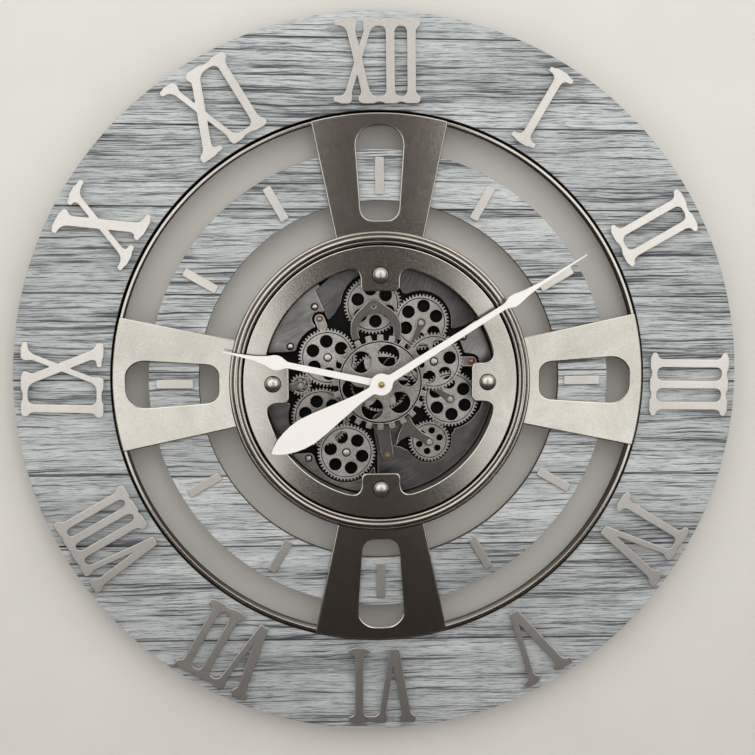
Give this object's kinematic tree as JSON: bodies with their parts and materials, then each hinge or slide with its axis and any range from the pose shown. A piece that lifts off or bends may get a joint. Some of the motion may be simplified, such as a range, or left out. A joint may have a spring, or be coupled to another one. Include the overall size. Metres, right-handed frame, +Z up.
{
  "type": "skeleton wall clock",
  "caption": "Large round skeleton wall clock: wood-print rings, raised Roman numerals, slotted metal arms and an open geared centre with flat white hands.",
  "frame": {"origin": "on the hand axis, at the flat back cover, which lies on the wall", "axes": "-Y out of the dial towards the viewer, +Y into the wall, +Z up to 12, +X right to 3"},
  "size_m": [0.8, 0.0718, 0.8],
  "materials": {
    "wood_print": "matt whitewashed plank print",
    "antique_pewter": "satin antique pewter plating",
    "dark_metal": "dark brushed metal",
    "gear_steel": "aged grey plating",
    "brushed_silver": "fine matt silver",
    "polished_steel": "polished domes",
    "zinc_steel": "bright zinc",
    "white_paint": "matt off-white paint",
    "brass": "satin brass",
    "black_paint": "satin black paint",
    "black_plastic": "moulded black plastic"
  },
  "bodies": {
    "frame": {"outer_wood_ring": "wood_print", "middle_wood_ring": "wood_print", "trim_ring": "antique_pewter", "arm_top": "antique_pewter", "arm_right": "antique_pewter", "arm_bottom": "antique_pewter", "arm_left": "antique_pewter", "bezel": "antique_pewter", "front_plate": "antique_pewter", "cap_nut_top": "polished_steel", "cap_nut_right": "polished_steel", "cap_nut_bottom": "polished_steel", "cap_nut_left": "polished_steel", "housing_drum": "black_paint", "back_cover": "black_paint", "hanger_plate": "zinc_steel", "gear_well": "dark_metal", "arch_bridge": "gear_steel", "bridge_top_right": "gear_steel", "bridge_right": "gear_steel", "bridge_idler": "gear_steel", "bridge_small": "gear_steel", "lower_strap": "gear_steel", "movement_case": "black_plastic", "bush_nut": "brass", "gear_motor": "zinc_steel", "battery_box": "black_plastic", "numeral_i": "brushed_silver", "numeral_ii": "brushed_silver", "numeral_iii": "brushed_silver", "numeral_iv": "brushed_silver", "numeral_v": "brushed_silver", "numeral_vi": "brushed_silver", "numeral_vii": "brushed_silver", "numeral_viii": "brushed_silver", "numeral_ix": "brushed_silver", "numeral_x": "brushed_silver", "numeral_xi": "brushed_silver", "numeral_xii": "brushed_silver"},
    "minute_hand": {"minute_hand": "white_paint", "hand_nut": "brass"},
    "hour_hand": {"hour_hand": "white_paint"},
    "set_knob": {"set_knob": "black_plastic"},
    "centre_wheels": {"centre_fine_wheel": "gear_steel", "centre_coarse_wheel": "gear_steel"},
    "wheel_upper_left": {"wheel_upper_left": "gear_steel"},
    "wheel_upper_right": {"wheel_upper_right": "gear_steel"},
    "idler_pinion": {"idler_pinion": "gear_steel"},
    "wheel_left": {"wheel_left": "gear_steel"},
    "wheel_lower_left": {"wheel_lower_left": "gear_steel"},
    "wheel_right": {"wheel_right": "gear_steel"},
    "wheel_small": {"wheel_small": "gear_steel"},
    "wheel_top_right": {"wheel_top_right": "gear_steel"},
    "wheel_top": {"wheel_top": "gear_steel"},
    "battery_door": {"battery_door": "black_plastic"},
    "power_switch": {"power_switch": "black_plastic"}
  },
  "joints": [
    {"name": "minute_hand_turn", "type": "hinge", "parent": "frame", "child": "minute_hand", "pos_m": [0, 0, 0], "axis": [0, 1, 0], "continuous": true},
    {"name": "hour_hand_turn", "type": "hinge", "parent": "frame", "child": "hour_hand", "pos_m": [0, 0, 0], "axis": [0, 1, 0], "continuous": true},
    {"name": "set_knob_turn", "type": "hinge", "parent": "frame", "child": "set_knob", "pos_m": [0.018, 0, -0.016], "axis": [0, 1, 0], "continuous": true},
    {"name": "centre_wheels_turn", "type": "hinge", "parent": "frame", "child": "centre_wheels", "pos_m": [0, 0, 0], "axis": [0, 1, 0], "continuous": true},
    {"name": "wheel_upper_left_turn", "type": "hinge", "parent": "frame", "child": "wheel_upper_left", "pos_m": [-0.05764, 0, 0.02724], "axis": [0, 1, 0], "continuous": true},
    {"name": "wheel_upper_right_turn", "type": "hinge", "parent": "frame", "child": "wheel_upper_right", "pos_m": [0.05991, 0, 0.0218], "axis": [0, 1, 0], "continuous": true},
    {"name": "idler_pinion_turn", "type": "hinge", "parent": "frame", "child": "idler_pinion", "pos_m": [-0.08769, 0, -0.00281], "axis": [0, 1, 0], "continuous": true},
    {"name": "wheel_left_turn", "type": "hinge", "parent": "frame", "child": "wheel_left", "pos_m": [-0.06541, 0, -0.03973], "axis": [0, 1, 0], "continuous": true},
    {"name": "wheel_lower_left_turn", "type": "hinge", "parent": "frame", "child": "wheel_lower_left", "pos_m": [-0.03781, 0, -0.07916], "axis": [0, 1, 0], "continuous": true},
    {"name": "wheel_right_turn", "type": "hinge", "parent": "frame", "child": "wheel_right", "pos_m": [0.07886, 0, -0.02038], "axis": [0, 1, 0], "continuous": true},
    {"name": "wheel_small_turn", "type": "hinge", "parent": "frame", "child": "wheel_small", "pos_m": [0.05566, 0, -0.06817], "axis": [0, 1, 0], "continuous": true},
    {"name": "wheel_top_right_turn", "type": "hinge", "parent": "frame", "child": "wheel_top_right", "pos_m": [0.04611, 0, 0.06529], "axis": [0, 1, 0], "continuous": true},
    {"name": "wheel_top_turn", "type": "hinge", "parent": "frame", "child": "wheel_top", "pos_m": [-0.00691, 0, 0.08407], "axis": [0, 1, 0], "continuous": true},
    {"name": "battery_door_hinge", "type": "hinge", "parent": "frame", "child": "battery_door", "pos_m": [-0.078, -0.001, -0.0266], "axis": [1, 0, 0], "range_deg": [-110, 0]},
    {"name": "power_switch_slide", "type": "slide", "parent": "frame", "child": "power_switch", "axis": [1, 0, 0], "range_m": [0, 0.005]}
  ],
  "couplings": [
    {"joint": "hour_hand_turn", "follows": "minute_hand_turn", "ratio": 0.083333},
    {"joint": "set_knob_turn", "follows": "minute_hand_turn", "ratio": -3},
    {"joint": "wheel_upper_left_turn", "follows": "centre_wheels_turn", "ratio": -1.04},
    {"joint": "wheel_upper_right_turn", "follows": "centre_wheels_turn", "ratio": -1.04},
    {"joint": "idler_pinion_turn", "follows": "centre_wheels_turn", "ratio": 2.8889},
    {"joint": "wheel_left_turn", "follows": "centre_wheels_turn", "ratio": -1.0196},
    {"joint": "wheel_lower_left_turn", "follows": "centre_wheels_turn", "ratio": 2},
    {"joint": "wheel_right_turn", "follows": "centre_wheels_turn", "ratio": 0.53061},
    {"joint": "wheel_small_turn", "follows": "centre_wheels_turn", "ratio": -0.72222},
    {"joint": "wheel_top_right_turn", "follows": "centre_wheels_turn", "ratio": 0.54167},
    {"joint": "wheel_top_turn", "follows": "centre_wheels_turn", "ratio": -0.43333}
  ]
}
